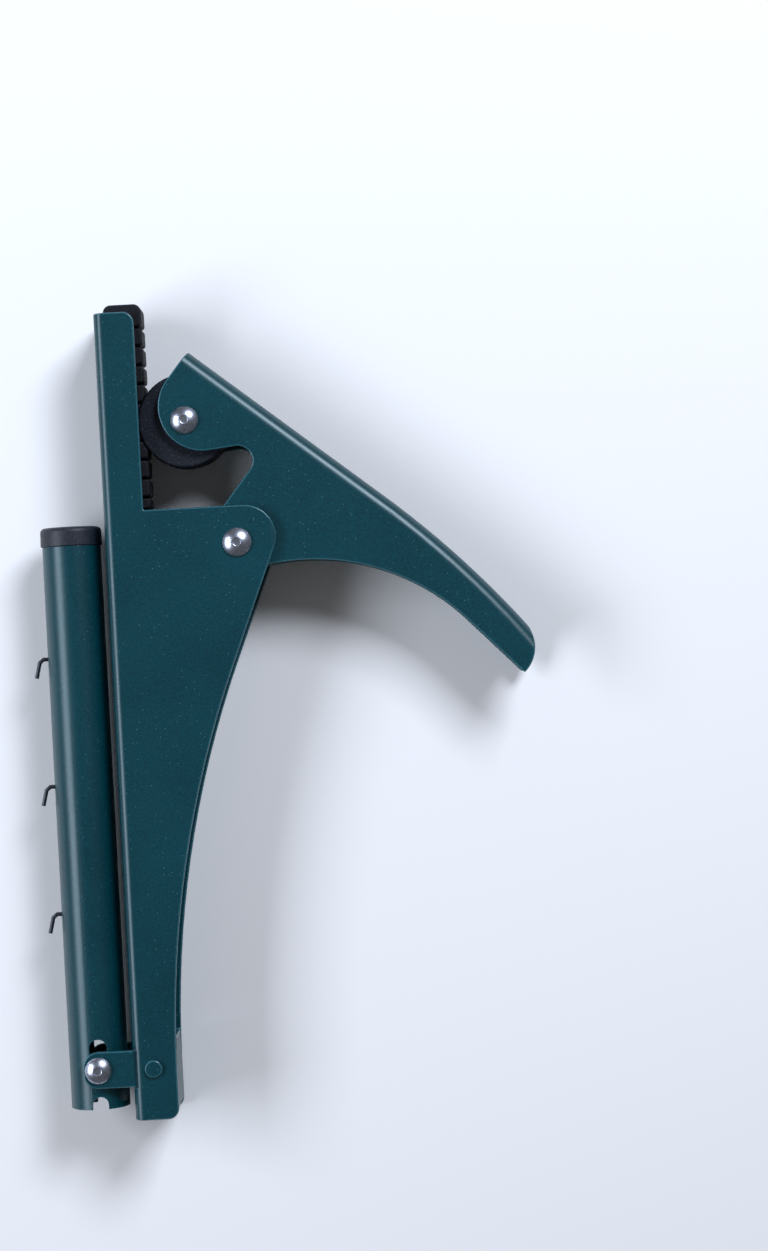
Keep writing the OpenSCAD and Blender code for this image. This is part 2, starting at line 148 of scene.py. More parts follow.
# where the camera stands, how high above the front face, how far it is turned, and how much it sees
# from the picture's top to its bottom
VIEW_AT = (26.755 * MM, 18.89 * MM)
VIEW_RISE = 800 * MM
VIEW_TURN = math.radians(-3.06)
VIEW_HIGH = 325.3 * MM
camera_data = bpy.data.cameras.new("camera")
camera_data.sensor_fit = "VERTICAL"
camera_data.sensor_height = 24
camera_data.lens = camera_data.sensor_height * VIEW_RISE / VIEW_HIGH
camera = added("camera", camera_data)
camera.location = (*VIEW_AT, FRONT + VIEW_RISE)
camera.rotation_euler = (0, 0, VIEW_TURN)
bpy.context.scene.camera = camera
bpy.context.scene.view_settings.view_transform = "Standard"


# ---- Clamp body, bracket plates and post tube ----
# The body and the plates are pressed from 1.5 mm steel sheet, and the post is a drawn tube. All are
# deburred and then powder coated in a glossy dark petrol, with a fine orange peel and a little dust.

def noise(tree, place, size, **inputs):
    """Noise in the piece's own coordinates, with patches of about the given size."""
    return add_node(tree, "ShaderNodeTexNoise", inputs={
        "Vector": place.outputs["Object"], "Scale": 1 / size, **inputs}).outputs["Fac"]


def spots(tree, place, spacing):
    """Scattered points, about as far apart as the spacing: a node with the distance to the nearest."""
    return add_node(tree, "ShaderNodeTexVoronoi", inputs={
        "Vector": place.outputs["Object"], "Scale": 1 / spacing})


def two_tone(tree, value, low, dark, high, pale):
    """The dark colour up to the low value, the pale one from the high value on, a blend between."""
    tone = add_node(tree, "ShaderNodeValToRGB", inputs={"Fac": value})
    for element, at, colour in zip(tone.color_ramp.elements, (low, high), (dark, pale)):
        element.position = at
        element.color = linear(colour)
    return tone.outputs[0]


def spread(tree, value, low, high, start=0.0, stop=1.0):
    """Maps a value that runs from start to stop onto the range from low to high."""
    return add_node(tree, "ShaderNodeMapRange", inputs={
        "Value": value, "From Min": start, "From Max": stop, "To Min": low, "To Max": high}).outputs[0]


def bumped(tree, shader, height, strength, depth):
    """Gives the shader's surface fine bumps as deep as this."""
    bump = add_node(tree, "ShaderNodeBump", inputs={
        "Height": height, "Strength": strength, "Distance": depth})
    tree.links.new(bump.outputs[0], shader.inputs["Normal"])


def reckoned(tree, operation, *values):
    """The result of one math node."""
    return add_node(tree, "ShaderNodeMath", {"operation": operation},
                    dict(enumerate(values))).outputs[0]


def powder_coat(name, dark, pale, rough):
    """Epoxy powder coat, baked glossy: a faint orange peel, slow colour drift and a few pale specks."""
    material, tree, shader = new_material(name)
    place = add_node(tree, "ShaderNodeTexCoord")
    peel = noise(tree, place, 0.9 * MM, Detail=2, Roughness=0.45)
    drift = noise(tree, place, 22 * MM, Detail=3)
    # the coat's fine mottle is drawn coarser than real, so that it shows
    mottle = noise(tree, place, 0.55 * MM, Detail=4, Roughness=0.7)
    shades = add_node(tree, "ShaderNodeMix", {"data_type": "FLOAT"},
                      {"Factor": 0.8, "A": drift, "B": mottle})
    plain = two_tone(tree, shades.outputs["Result"], 0.38, dark, 0.62, pale)
    # dust specks are drawn coarser than real dust, so that they show, and on four points in ten only
    specks = spots(tree, place, 1.05 * MM)
    near_speck = spread(tree, specks.outputs["Distance"], 0.0, 1.0, 0.12, 0.07)
    chance = add_node(tree, "ShaderNodeSeparateColor", inputs={"Color": specks.outputs["Color"]})
    chosen = reckoned(tree, "GREATER_THAN", chance.outputs[0], 0.6)
    dusty = add_node(tree, "ShaderNodeMix", {"data_type": "RGBA"}, {
        "Factor": reckoned(tree, "MULTIPLY", near_speck, chosen), "A": plain, "B": linear("#5B8492")})
    tree.links.new(dusty.outputs["Result"], shader.inputs["Base Color"])
    tree.links.new(spread(tree, drift, rough - 0.03, rough + 0.03), shader.inputs["Roughness"])
    bumped(tree, shader, peel, 0.35, 0.02 * MM)
    shader.inputs["IOR"].default_value = 1.54
    # the clear resin over the pigment takes a little red out of what it mirrors
    shader.inputs["Specular Tint"].default_value = (0.84, 0.98, 1.0, 1.0)
    return material


def applied(piece):
    """Leaves the piece as the plain mesh that its modifiers make of it."""
    built = piece.evaluated_get(bpy.context.evaluated_depsgraph_get())
    piece.data = bpy.data.meshes.new_from_object(built)
    piece.modifiers.clear()


# points this near are one point, a wall that bends less than this is flat, and an edge is hard from here
MERGE = 0.0005 * MM
FLAT_WITHIN = math.radians(0.2)
SHARP_FROM = math.radians(28)
# a true rounding lies nearer than this share of its width to the sharp piece
STRAY = 0.45


def finished(name, mesh, material, edge, cuts, painted_highlight_material=None):
    """A piece from a mesh: doubles merged, hard edges rounded by edge, flat walls kept flat.

    Each cut is a plane, given by a point and a direction, that splits a wall through its holes.
    """
    shape = bmesh.new()
    shape.from_mesh(mesh)
    bmesh.ops.remove_doubles(shape, verts=shape.verts, dist=MERGE)
    bmesh.ops.dissolve_degenerate(shape, edges=shape.edges, dist=MERGE)
    for point, across in cuts:
        split = bmesh.ops.bisect_plane(shape, geom=shape.verts[:] + shape.edges[:] + shape.faces[:],
                                       dist=MERGE, plane_co=point, plane_no=across)
        for part in split["geom_cut"]:
            if isinstance(part, bmesh.types.BMEdge):
                part.seam = True
    bmesh.ops.dissolve_limit(shape, angle_limit=FLAT_WITHIN, verts=shape.verts, edges=shape.edges,
                             delimit={"SEAM"})
    bmesh.ops.dissolve_verts(shape, verts=[vert for vert in shape.verts if len(vert.link_edges) == 2])
    bmesh.ops.recalc_face_normals(shape, faces=shape.faces)
    for face in shape.faces:
        face.smooth = True
        face.material_index = 0
    skin = BVHTree.FromBMesh(shape)
    mesh = bpy.data.meshes.new(name)
    shape.to_mesh(mesh)
    shape.free()
    mesh.materials.append(material)
    # where given, the second material paints a highlight on the rounded edges
    if painted_highlight_material:
        mesh.materials.append(painted_highlight_material)
    piece = added(name, mesh)
    rounding = piece.modifiers.new("deburr", "BEVEL")
    rounding.width = edge
    rounding.segments = 3
    rounding.limit_method = "ANGLE"
    rounding.angle_limit = SHARP_FROM
    rounding.miter_outer = "MITER_ARC"
    # the rounding's faces take the last material, which is the painted edge highlight where there is one
    rounding.material = len(mesh.materials) - 1  # the edge material, where there is one
    rounding.use_clamp_overlap = False
    applied(piece)
    # where folds and short edges crowd together, the rounding can leave the sheet, and is put back
    for point in piece.data.vertices:
        nearest, _, _, off = skin.find_nearest(point.co)
        if off > STRAY * edge:
            point.co = nearest
    # flat walls keep their own normals, so that only the bends and edges are shaded round
    flats = piece.modifiers.new("flat_walls", "WEIGHTED_NORMAL")
    flats.mode = "FACE_AREA"
    flats.weight = 80
    applied(piece)
    return piece


def stands_for(piece, body, slot, *nodes):
    """The piece rides on its body, in the place of these solids."""
    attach(piece, body)
    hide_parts(*nodes)


def middle(node):
    """The middle of a node's box."""
    low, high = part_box(node)
    return (Vector(low) + Vector(high)) / 2


def through(first, second):
    """The upright plane through two points."""
    along = Vector(second) - Vector(first)
    return Vector(first), Vector((along.y, -along.x, 0)).normalized()


def deburred(node, body, material, edge, slot, cuts=None, painted_highlight_material=None):
    """A copy of a pressed or turned solid with its edges rounded, which then stands for it."""
    mesh = frame["nodes"][node].data.copy()
    mesh.transform(frame["nodes"][node].matrix_world)
    cuts = cuts or [(middle(node), (0, 1, 0))]  # across the middle
    piece = finished(node + "_finished", mesh, material, edge, cuts, painted_highlight_material)
    stands_for(piece, body, slot, node)


petrol = powder_coat("petrol_powder_coat", "#00323C", "#00444E", 0.33)
# the rounded edges get a glossier coat in a paler colour: the paler colour is a painted highlight,
# standing in for the glint along the edges
petrol_edge_highlight = powder_coat("petrol_powder_coat_painted_edge_highlight", "#285762", "#396A75", 0.22)
SHEET_EDGE = 0.36 * MM
TUBE_EDGE = 0.2 * MM
SLOT_CLEAR = 1.4 * MM
joints = {joint["name"]: joint for joint in frame["joints"]}
lever_pivot = Vector(joints["lever_hinge"]["pos_m"])
wheel_at = Vector(joints["wheel_spin"]["pos_m"])
plate_low, plate_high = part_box("front_bracket_plate")
# through its holes, along its middle, and just below and above the plates' slots, which nick its folds
body_cuts = [through(lever_pivot, middle("lock_pin")), (middle("body_channel"), (0, 0, 1)),
             ((0, plate_low[1] - SLOT_CLEAR, 0), (0, 1, 0)),
             ((0, plate_high[1] + SLOT_CLEAR, 0), (0, 1, 0))]
tube_cuts = [(middle("post_tube"), (1, 0, 0))]
deburred("body_channel", "frame", petrol, SHEET_EDGE, "green", body_cuts, petrol_edge_highlight)
for plate in ("front_bracket_plate", "rear_bracket_plate"):
    deburred(plate, "frame", petrol, SHEET_EDGE, "green", painted_highlight_material=petrol_edge_highlight)
deburred("post_tube", "post", petrol, TUBE_EDGE, "green", tube_cuts, petrol_edge_highlight)


# ---- Squeeze lever ----
# Steel sheet of 1.2 mm, pressed into a channel whose back runs straight and then curves into the
# handle. Both side walls are blanked to one outline: round head, throat, pivot boss, hollow and grip.

def new_tree(name, sizes):
    """An empty geometry tree, and the node that holds its inputs: a name and a kind for each."""
    tree = bpy.data.node_groups.new(name, "GeometryNodeTree")
    tree.interface.new_socket("Geometry", in_out="INPUT", socket_type="NodeSocketGeometry")
    tree.interface.new_socket("Geometry", in_out="OUTPUT", socket_type="NodeSocketGeometry")
    for label, kind in sizes.items():
        tree.interface.new_socket(label, in_out="INPUT", socket_type="NodeSocket" + kind)
    return tree, add_node(tree, "NodeGroupInput")


def end_tree(tree, geometry, finish):
    """Ends a geometry tree: its copies made real and the finish put on all of it."""
    solid = add_node(tree, "GeometryNodeRealizeInstances", inputs={"Geometry": geometry})
    coated = add_node(tree, "GeometryNodeSetMaterial", inputs={
        "Geometry": solid.outputs[0], "Material": finish})
    add_node(tree, "NodeGroupOutput", inputs={"Geometry": coated.outputs[0]})


def made_by(tree, name, mesh, values, place=(0, 0, 0)):
    """Runs a geometry tree on a mesh with the given inputs, and makes a plain piece of the result."""
    seed = added(name + "_seed", mesh)
    step = seed.modifiers.new("build", "NODES")
    step.node_group = tree
    keys = {item.name: item.identifier for item in tree.interface.items_tree if item.in_out == "INPUT"}
    for label, value in values.items():
        step[keys[label]] = value
    bpy.context.view_layer.update()
    built = seed.evaluated_get(bpy.context.evaluated_depsgraph_get())
    result = bpy.data.meshes.new_from_object(built)
    result.transform(Matrix.Translation(place))
    bpy.data.objects.remove(seed)
    return added(name, result)


def arc(centre, radius, first, last, pieces):
    """Points that cut an arc into pieces, from its first angle to its last, in degrees."""
    angles = [math.radians(first + (last - first) * i / pieces) for i in range(pieces + 1)]
    return [(centre[0] + radius * math.cos(a), centre[1] + radius * math.sin(a)) for a in angles]


def line_mesh(points, closed=False):
    """A bare line of edges through the points."""
    mesh = bpy.data.meshes.new("line")
    last = len(points) if closed else len(points) - 1
    mesh.from_pydata([tuple(point) + (0,) * (3 - len(point)) for point in points],
                     [(i, (i + 1) % len(points)) for i in range(last)], [])
    return mesh


# in millimetres from the pivot, first along the lever's back and then out towards it
LEVER_SLOPE = math.radians(-39.2)
BACK = 32.5
HALF_WIDTH = 8.75
SHEET = 1.2
FOLD = 3.6
LEG = 45
HEAD, HEAD_R = (-28.35, 23.2), 11.6
THROAT, THROAT_R = (-12.5, 17.2), 3.9
BOSS_R, BOSS_DROP = 8.6, 7.6
BELLY, BELLY_R = (53.5, -38.5), 58.2
GRIP, GRIP_LEAN = (60.6, 19.27), math.radians(-7)
CURVE_FROM, CURVE_R, CURVE_LONG = 23.4, 250, 50
TIP_R = 9.5
AXLE, AXLE_HOLE_R = (-30, 17.6), 2.5
PIVOT_HOLE_R = 3.05
# how far the uncut sheet reaches past the outline
OVER = 4

# the channel's cross-section: each leg and the back, outside and then inside
corner = HALF_WIDTH - FOLD
section = ([(LEG, HALF_WIDTH)] + arc((FOLD, corner), FOLD, 90, 180, 14)
           + arc((FOLD, -corner), FOLD, 180, 270, 14) + [(LEG, -HALF_WIDTH), (LEG, SHEET - HALF_WIDTH)]
           + arc((FOLD, -corner), FOLD - SHEET, 270, 180, 10)
           + arc((FOLD, corner), FOLD - SHEET, 180, 90, 10) + [(LEG, HALF_WIDTH - SHEET)])
# the line that its back follows
run_out = math.degrees((CURVE_LONG + TIP_R + OVER) / CURVE_R)
route = ([(HEAD[0] - HEAD_R - 1, BACK)]
         + arc((CURVE_FROM, BACK - CURVE_R), CURVE_R, 90, 90 - run_out, 40))

# the angles at which the outline's arcs meet, from the head down to the boss and round the handle
neck = (THROAT[0] - HEAD[0], THROAT[1] - HEAD[1])
neck_turn = math.atan2(neck[1], neck[0]) - math.acos((HEAD_R + THROAT_R) / math.hypot(*neck))
neck_lean = math.degrees(neck_turn)
boss_end = math.degrees(math.acos(BOSS_DROP / BOSS_R))
belly_start = 180 - math.degrees(math.asin((-BOSS_DROP - BELLY[1]) / BELLY_R))
belly_end = math.degrees(math.acos((GRIP[0] - BELLY[0]) / BELLY_R))
turn = CURVE_LONG / CURVE_R
tip = (CURVE_FROM + (CURVE_R - TIP_R) * math.sin(turn),
       BACK - CURVE_R + (CURVE_R - TIP_R) * math.cos(turn))
# the grip's straight edge runs out into the tip's round
to_grip = Vector(GRIP) - Vector(tip)
grip_way = Vector((math.cos(GRIP_LEAN), math.sin(GRIP_LEAN)))
along = to_grip.dot(grip_way)
grip_end = to_grip + grip_way * (math.sqrt(along ** 2 - to_grip.length_squared + TIP_R ** 2) - along)
tip_start = math.degrees(math.atan2(grip_end.y, grip_end.x))
outline = ([(HEAD[0] - HEAD_R, BACK + OVER)] + arc(HEAD, HEAD_R, 180, 360 + neck_lean, 54)
           + arc(THROAT, THROAT_R, 180 + neck_lean, 0, 28) + arc((0, 0), BOSS_R, 180, 270 + boss_end, 30)
           + arc(BELLY, BELLY_R, belly_start, belly_end, 80)
           + arc(tip, TIP_R, tip_start, 90 - math.degrees(turn), 26)
           + [(tip[0] + (TIP_R + OVER) * math.sin(turn), tip[1] + (TIP_R + OVER) * math.cos(turn)),
              (CURVE_FROM, BACK + OVER)])
# a block of the outline, thicker than the channel is wide
blank = bmesh.new()
blank.faces.new([blank.verts.new((x, y, -2 * HALF_WIDTH)) for x, y in outline])
risen = bmesh.ops.extrude_face_region(blank, geom=blank.faces[:])["geom"]
bmesh.ops.translate(blank, verts=[v for v in risen if isinstance(v, bmesh.types.BMVert)],
                    vec=(0, 0, 4 * HALF_WIDTH))
bmesh.ops.recalc_face_normals(blank, faces=blank.faces)
blank_mesh = bpy.data.meshes.new("blank")
blank.to_mesh(blank_mesh)
blank.free()

lever_tree, sizes = new_tree("pressed_channel", {
    "Section": "Object", "Blank": "Object", "Pivot Hole": "Float", "Axle Hole": "Float",
    "Axle": "Vector", "Finish": "Material"})
back_line = add_node(lever_tree, "GeometryNodeMeshToCurve", inputs={"Mesh": sizes.outputs["Geometry"]})
profile = add_node(lever_tree, "GeometryNodeObjectInfo", inputs={"Object": sizes.outputs["Section"]})
profile_line = add_node(lever_tree, "GeometryNodeMeshToCurve", inputs={
    "Mesh": profile.outputs["Geometry"]})
channel = add_node(lever_tree, "GeometryNodeCurveToMesh", inputs={
    "Curve": back_line.outputs[0], "Profile Curve": profile_line.outputs[0], "Fill Caps": True})
cutter = add_node(lever_tree, "GeometryNodeObjectInfo", inputs={"Object": sizes.outputs["Blank"]})
blanked = add_node(lever_tree, "GeometryNodeMeshBoolean", {"operation": "INTERSECT", "solver": "EXACT"})
lever_tree.links.new(channel.outputs[0], blanked.inputs[1])
lever_tree.links.new(cutter.outputs["Geometry"], blanked.inputs[1])
pivot_drill = add_node(lever_tree, "GeometryNodeMeshCylinder", inputs={
    "Vertices": 64, "Radius": sizes.outputs["Pivot Hole"], "Depth": 4 * HALF_WIDTH})
axle_drill = add_node(lever_tree, "GeometryNodeMeshCylinder", inputs={
    "Vertices": 64, "Radius": sizes.outputs["Axle Hole"], "Depth": 4 * HALF_WIDTH})
moved_drill = add_node(lever_tree, "GeometryNodeTransform", inputs={
    "Geometry": axle_drill.outputs["Mesh"], "Translation": sizes.outputs["Axle"]})
drilled = add_node(lever_tree, "GeometryNodeMeshBoolean", {"operation": "DIFFERENCE", "solver": "EXACT"})
lever_tree.links.new(blanked.outputs[0], drilled.inputs[0])
lever_tree.links.new(pivot_drill.outputs["Mesh"], drilled.inputs[1])
lever_tree.links.new(moved_drill.outputs[0], drilled.inputs[1])
end_tree(lever_tree, drilled.outputs[0], sizes.outputs["Finish"])

section_line = added("section", line_mesh(section, closed=True))
blank_solid = added("blank", blank_mesh)
rough = made_by(lever_tree, "lever_rough", line_mesh(route), {
    "Section": section_line, "Blank": blank_solid, "Pivot Hole": PIVOT_HOLE_R,
    "Axle Hole": AXLE_HOLE_R, "Axle": (*AXLE, 0), "Finish": petrol})
rough.data.transform(Matrix.Translation(lever_pivot) @ Matrix.Rotation(LEVER_SLOPE, 4, "Z")
                     @ Matrix.Scale(MM, 4))
lever = finished("lever_finished", rough.data, petrol, SHEET_EDGE, [through(lever_pivot, wheel_at)],
                 petrol_edge_highlight)
stands_for(lever, "lever", "green", "lever")
for helper in (section_line, blank_solid, rough):
    bpy.data.objects.remove(helper)


# ---- Jaw pad and pressure wheel ----
# Both are moulded from the same black rubber, matte and faintly speckled with filler. The pad is
# pushed into the jaw's channel, and its blocks have soft corners. The wheel is turned true.

def moulded_rubber(name, dark, pale, fleck):
    """Black rubber as it leaves the mould: a dull sheen, a fine grain and grey filler specks."""
    material, tree, shader = new_material(name)
    place = add_node(tree, "ShaderNodeTexCoord")
    grain = noise(tree, place, 0.5 * MM, Detail=4, Roughness=0.6)
    plain = two_tone(tree, grain, 0.35, dark, 0.68, pale)
    # the filler's specks are drawn coarser than real, so that they show
    flecks = spots(tree, place, 0.75 * MM)
    near_fleck = spread(tree, flecks.outputs["Distance"], 0.0, 0.6, 0.26, 0.12)
    speckled = add_node(tree, "ShaderNodeMix", {"data_type": "RGBA"},
                        {"Factor": near_fleck, "A": plain, "B": linear(fleck)})
    tree.links.new(speckled.outputs["Result"], shader.inputs["Base Color"])
    bumped(tree, shader, grain, 0.5, 0.05 * MM)
    shader.inputs["Roughness"].default_value = 0.66
    shader.inputs["Specular IOR Level"].default_value = 0.3
    return material


wheel_rubber = moulded_rubber("moulded_wheel_rubber", "#070D17", "#0F1926", "#454C5C")
pad_rubber = moulded_rubber("moulded_pad_rubber", "#05080F", "#0B111B", "#343A47")


def closed_mesh(rings, capped):
    """Smooth quads between rings of points, closed by a flat cap at each end or in a loop."""
    shape = bmesh.new()
    rings = [[shape.verts.new(point) for point in ring] for ring in rings]
    if not capped:
        rings.append(rings[0])
    for low, high in zip(rings, rings[1:]):
        for i in range(len(low)):
            j = (i + 1) % len(low)
            shape.faces.new((low[i], low[j], high[j], high[i])).smooth = True
    if capped:
        shape.faces.new(rings[-1])
        shape.faces.new(list(reversed(rings[0])))
    mesh = bpy.data.meshes.new("closed")
    shape.to_mesh(mesh)
    shape.free()
    return mesh


def turned(outline, facets, capped=True):
    """A solid turned about Z from its outline of radius and height."""
    angles = [2 * math.pi * i / facets for i in range(facets)]
    return closed_mesh([[(r * math.cos(a), r * math.sin(a), z) for a in angles] for r, z in outline],
                       capped)


wheel_low, wheel_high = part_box("pressure_wheel")
WHEEL_R = (wheel_high[0] - wheel_low[0]) / 2
WHEEL_HALF = (wheel_high[2] - wheel_low[2]) / 2
BORE_R = 4.05 * MM
BORE_EDGE = 0.3 * MM
WHEEL_EDGE = 0.55 * MM
# the mould's parting line runs round the middle of the tread
FLASH = 0.08 * MM
tread = WHEEL_R - FLASH
# a narrow ring beside each round, so that the flat beyond it is shaded flat
KEEP_FLAT = 0.15 * MM
flat_end = tread - WHEEL_EDGE - KEEP_FLAT
wheel_outline = ([(BORE_R, BORE_EDGE - WHEEL_HALF), (BORE_R + BORE_EDGE, -WHEEL_HALF),
                  (flat_end, -WHEEL_HALF)]
                 + arc((tread - WHEEL_EDGE, WHEEL_EDGE - WHEEL_HALF), WHEEL_EDGE, -90, 0, 6)
                 + [(tread, -1.5 * FLASH), (WHEEL_R, 0), (tread, 1.5 * FLASH)]
                 + arc((tread - WHEEL_EDGE, WHEEL_HALF - WHEEL_EDGE), WHEEL_EDGE, 0, 90, 6)
                 + [(flat_end, WHEEL_HALF), (BORE_R + BORE_EDGE, WHEEL_HALF),
                    (BORE_R, WHEEL_HALF - BORE_EDGE)])
wheel_mesh = turned(wheel_outline, 160, capped=False)
wheel_mesh.transform(Matrix.Translation(wheel_at))
HARD_FROM = math.radians(30)
wheel_mesh.set_sharp_from_angle(angle=HARD_FROM)
wheel_mesh.materials.append(wheel_rubber)
stands_for(added("pressure_wheel_finished", wheel_mesh), "wheel", "wheel", "pressure_wheel")


# the steps of a quarter round in degrees, and about how long the pieces of a straight edge are
QUARTER = range(0, 91, 15)
SHORT = 0.35 * MM


def soft_slab(low, high, rounds, half, edge):
    """A slab about z = 0 with four round corners, from its lowest one on, and two soft rims."""
    rim = []
    for k, (x, y, right, up) in enumerate([(low[0], low[1], 1, 1), (high[0], low[1], -1, 1),
                                           (high[0], high[1], -1, -1), (low[0], high[1], 1, -1)]):
        for step in QUARTER:
            lean = math.radians(180 + 90 * k + step)
            side = Vector((math.cos(lean), math.sin(lean)))
            rim.append((Vector((x + rounds[k] * right, y + rounds[k] * up)) + rounds[k] * side, side))
    # the straight edges are cut in short lengths, so that they can bend where the wheel presses
    cut = []
    for (start, side), (goal, _) in zip(rim, rim[1:] + rim[:1]):
        pieces = max(1, round((goal - start).length / SHORT))
        cut += [(start.lerp(goal, i / pieces), side) for i in range(pieces)]
    levels = [(edge * (1 - math.cos(a)), edge * (1 - math.sin(a))) for a in map(math.radians, QUARTER)]
    heights = [(fall - half, inset) for fall, inset in levels]
    heights += [(half - fall, inset) for fall, inset in reversed(levels)]
    return closed_mesh([[(*(point - side * inset), z) for point, side in cut] for z, inset in heights],
                       capped=True)


pad_low, pad_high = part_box("jaw_pad")
pad_middle = (pad_low[2] + pad_high[2]) / 2
# the bed carries the tread, whose blocks stand one pitch apart with a slit between them
PAD_HALF = 6.1 * MM
PAD_RIM = 0.6 * MM
PAD_OVER = 2.4 * MM
BED_ROUND = 1.0 * MM
TREAD_BACK = 0.7 * MM
END_ROUND = 2.0 * MM
PITCH = 4.95 * MM
SLIT = 0.45 * MM
FIRST_SLIT = 2.9 * MM
BLOCK_COUNT = 9
BLOCK_HIGH = 2.7 * MM
BLOCK_ROUND = 0.8 * MM
ROOT = 1.2 * MM
DENT_CLEAR = 0.1 * MM

bed_face = pad_high[0] - BLOCK_HIGH
bed_long = pad_high[1] - PAD_OVER - pad_low[1]
first_slit = pad_low[1] + FIRST_SLIT
last_slit = first_slit + BLOCK_COUNT * PITCH
# the bed is as wide as the channel, so its slab lies across those of the tread
bed = soft_slab((pad_low[0], pad_low[2] - pad_middle), (bed_face, pad_high[2] - pad_middle),
                [BED_ROUND] * 4, bed_long / 2, PAD_RIM / 2)
bed.transform(Matrix.Translation((0, pad_low[1] + bed_long / 2, pad_middle))
              @ Matrix.Rotation(math.pi / 2, 4, "X"))
solids = bmesh.new()
solids.from_mesh(bed)
# the tread's back, its first block and its last one
tread_slabs = [
    ((pad_low[0] + TREAD_BACK, pad_low[1]), (bed_face, pad_high[1] - END_ROUND), [BLOCK_ROUND] * 4),
    ((bed_face - ROOT, pad_low[1]), (pad_high[0], first_slit - SLIT / 2), [BLOCK_ROUND] * 4),
    ((pad_low[0] + TREAD_BACK, last_slit + SLIT / 2), (pad_high[0], pad_high[1]),
     [BLOCK_ROUND, BLOCK_ROUND, END_ROUND, END_ROUND])]
for low, high, rounds in tread_slabs:
    slab = soft_slab(low, high, rounds, PAD_HALF, PAD_RIM)
    slab.transform(Matrix.Translation((0, 0, pad_middle)))
    solids.from_mesh(slab)
rest_mesh = bpy.data.meshes.new("bed_and_ends")
solids.to_mesh(rest_mesh)
solids.free()
rest = added("bed_and_ends", rest_mesh)

pad_tree, sizes = new_tree("pressed_blocks", {
    "Rest": "Object", "First Block": "Vector", "Pitch": "Float", "Count": "Int",
    "Wheel": "Vector", "Dent Radius": "Float", "Finish": "Material"})
step_up = add_node(pad_tree, "ShaderNodeCombineXYZ", inputs={"Y": sizes.outputs["Pitch"]})
row = add_node(pad_tree, "GeometryNodeMeshLine", inputs={
    "Count": sizes.outputs["Count"], "Start Location": sizes.outputs["First Block"],
    "Offset": step_up.outputs[0]})
blocks = add_node(pad_tree, "GeometryNodeInstanceOnPoints", inputs={
    "Points": row.outputs[0], "Instance": sizes.outputs["Geometry"]})
bed_and_ends = add_node(pad_tree, "GeometryNodeObjectInfo", inputs={"Object": sizes.outputs["Rest"]})
whole = add_node(pad_tree, "GeometryNodeJoinGeometry")
for part in (bed_and_ends.outputs["Geometry"], blocks.outputs[0]):
    pad_tree.links.new(part, whole.inputs[0])
solid = add_node(pad_tree, "GeometryNodeRealizeInstances", inputs={"Geometry": whole.outputs[0]})
place = add_node(pad_tree, "GeometryNodeInputPosition")
at = add_node(pad_tree, "ShaderNodeSeparateXYZ", inputs={0: place.outputs[0]})
axis = add_node(pad_tree, "ShaderNodeSeparateXYZ", inputs={0: sizes.outputs["Wheel"]})
# no point of the pad stays inside the wheel: it is pressed straight back towards the web
rise = reckoned(pad_tree, "SUBTRACT", at.outputs["Y"], axis.outputs["Y"])
across = reckoned(pad_tree, "SUBTRACT", reckoned(pad_tree, "POWER", sizes.outputs["Dent Radius"], 2.0),
                  reckoned(pad_tree, "POWER", rise, 2.0))
reach = reckoned(pad_tree, "SQRT", reckoned(pad_tree, "MAXIMUM", across, 0.0))
wheel_face = reckoned(pad_tree, "SUBTRACT", axis.outputs["X"], reach)
pressed = add_node(pad_tree, "ShaderNodeCombineXYZ", inputs={
    "X": reckoned(pad_tree, "MINIMUM", at.outputs["X"], wheel_face),
    "Y": at.outputs["Y"], "Z": at.outputs["Z"]})
dented = add_node(pad_tree, "GeometryNodeSetPosition", inputs={
    "Geometry": solid.outputs[0], "Position": pressed.outputs[0]})
end_tree(pad_tree, dented.outputs[0], sizes.outputs["Finish"])

block = soft_slab((bed_face - ROOT, (SLIT - PITCH) / 2), (pad_high[0], (PITCH - SLIT) / 2),
                  [BLOCK_ROUND] * 4, PAD_HALF, PAD_RIM)
pad = made_by(pad_tree, "jaw_pad_finished", block, {
    "Rest": rest, "First Block": (0, first_slit + PITCH / 2, pad_middle), "Pitch": PITCH,
    "Count": BLOCK_COUNT, "Wheel": wheel_at, "Dent Radius": WHEEL_R + DENT_CLEAR, "Finish": pad_rubber})
bpy.data.objects.remove(rest)
stands_for(pad, "frame", "pad", "jaw_pad")


# ---- Post cap ----
# A push-in cap moulded from black polypropylene with a fine spark-eroded grain. The cord's groove
# runs across its rounded top.

def grained_plastic(name, dark, pale, grain_size):
    """Black moulded plastic with a fine even grain, painted shade in its hollows, and a soft sheen."""
    material, tree, shader = new_material(name)
    place = add_node(tree, "ShaderNodeTexCoord")
    grain = noise(tree, place, grain_size, Detail=3, Roughness=0.7)
    # the grain's low places, which the bump sinks, take the dark colour: painted shade in the hollows
    tree.links.new(two_tone(tree, grain, 0.3, dark, 0.72, pale), shader.inputs["Base Color"])
    bumped(tree, shader, grain, 0.5, 0.04 * MM)
    shader.inputs["Roughness"].default_value = 0.5
    shader.inputs["IOR"].default_value = 1.49
    return material


